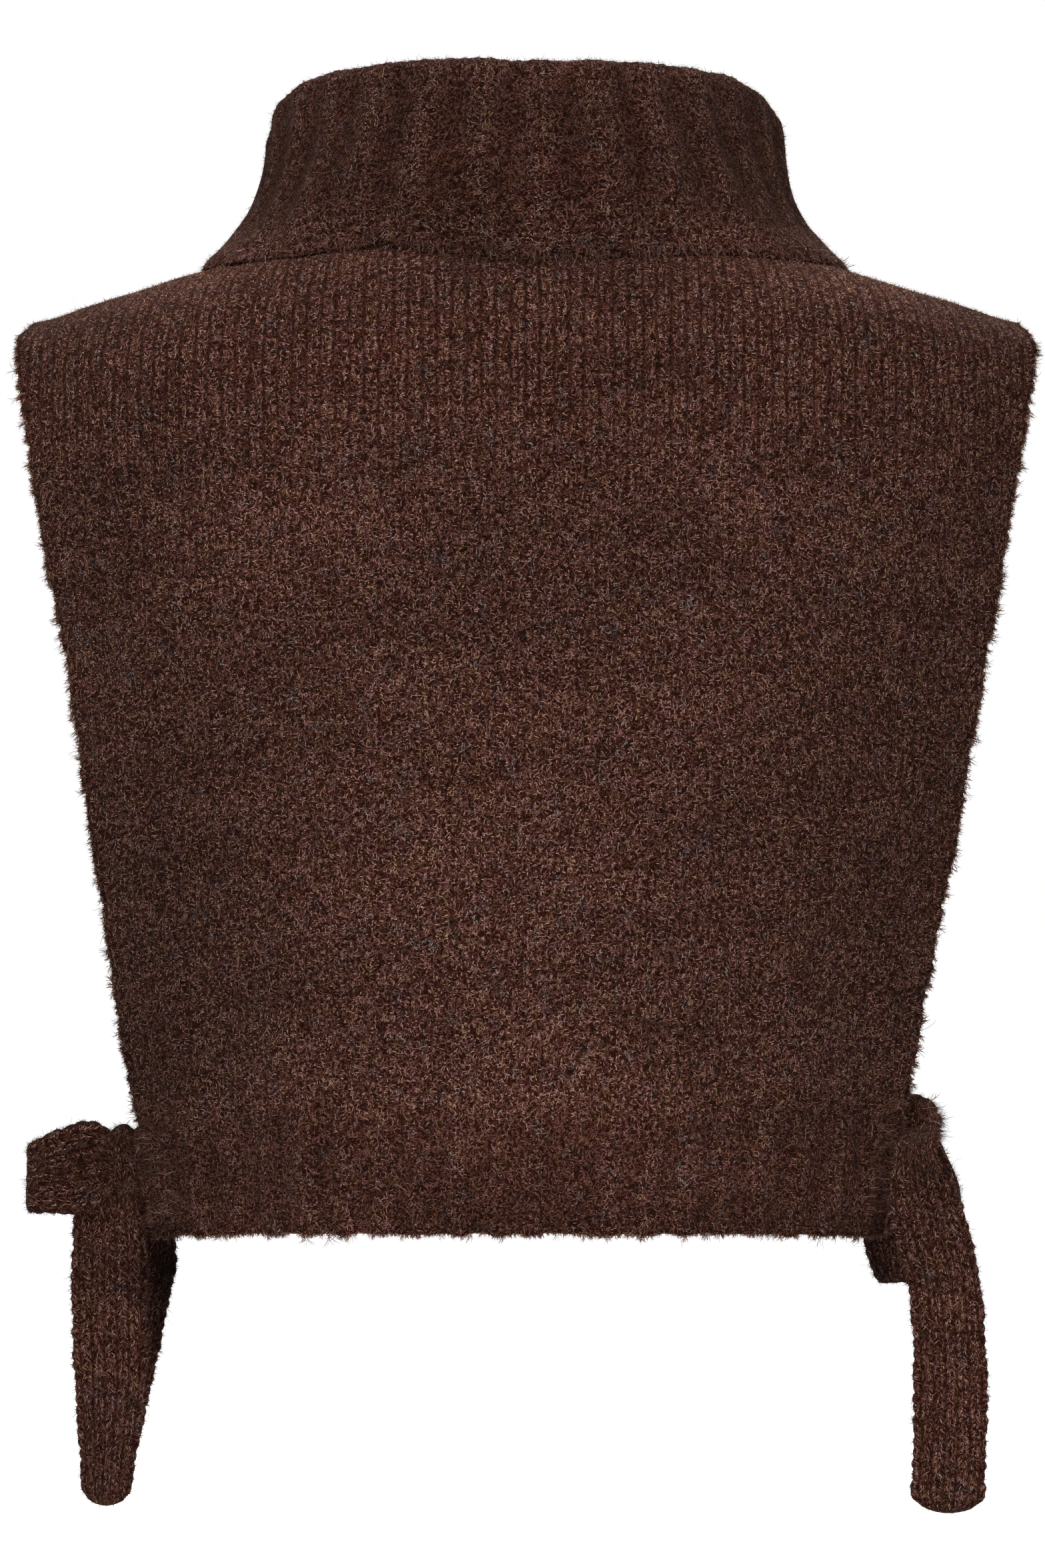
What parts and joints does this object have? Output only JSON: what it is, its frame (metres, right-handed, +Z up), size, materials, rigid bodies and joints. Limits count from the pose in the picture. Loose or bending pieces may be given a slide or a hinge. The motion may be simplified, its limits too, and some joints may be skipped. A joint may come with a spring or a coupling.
{
  "type": "knitted shoulder poncho",
  "caption": "Chunky knitted shoulder poncho, filled out as worn: back and front panels joined at the shoulders, a turned-down ribbed roll collar, and open sides tied in bows at the hem.",
  "frame": {"origin": "middle of the neck opening at the height of the shoulders, where the wearer's shoulders hold the garment up", "axes": "+Z up, -Y towards the wearer's back (the side that the picture shows), +X to the right when the back is looked at"},
  "size_m": [0.4666, 0.2313, 0.6628],
  "materials": {
    "panel_knit": "matt brushed wool, plain knit, mixed brown yarn",
    "collar_rib": "matt brushed wool, wide rib, mixed brown yarn",
    "tie_knit": "matt brushed wool, narrow knitted bands"
  },
  "bodies": {
    "root": {"back_panel": "panel_knit", "front_panel": "panel_knit", "collar": "collar_rib", "tie_left_back_root": "tie_knit", "tie_left_front_root": "tie_knit", "tie_left_knot": "tie_knit", "tie_left_outer_loop": "tie_knit", "tie_left_forward_loop": "tie_knit", "tie_left_near_tail": "tie_knit", "tie_left_far_tail": "tie_knit", "tie_right_back_root": "tie_knit", "tie_right_front_root": "tie_knit", "tie_right_knot": "tie_knit", "tie_right_hanging_loop": "tie_knit", "tie_right_forward_loop": "tie_knit", "tie_right_near_tail": "tie_knit", "tie_right_far_tail": "tie_knit"}
  },
  "joints": []
}
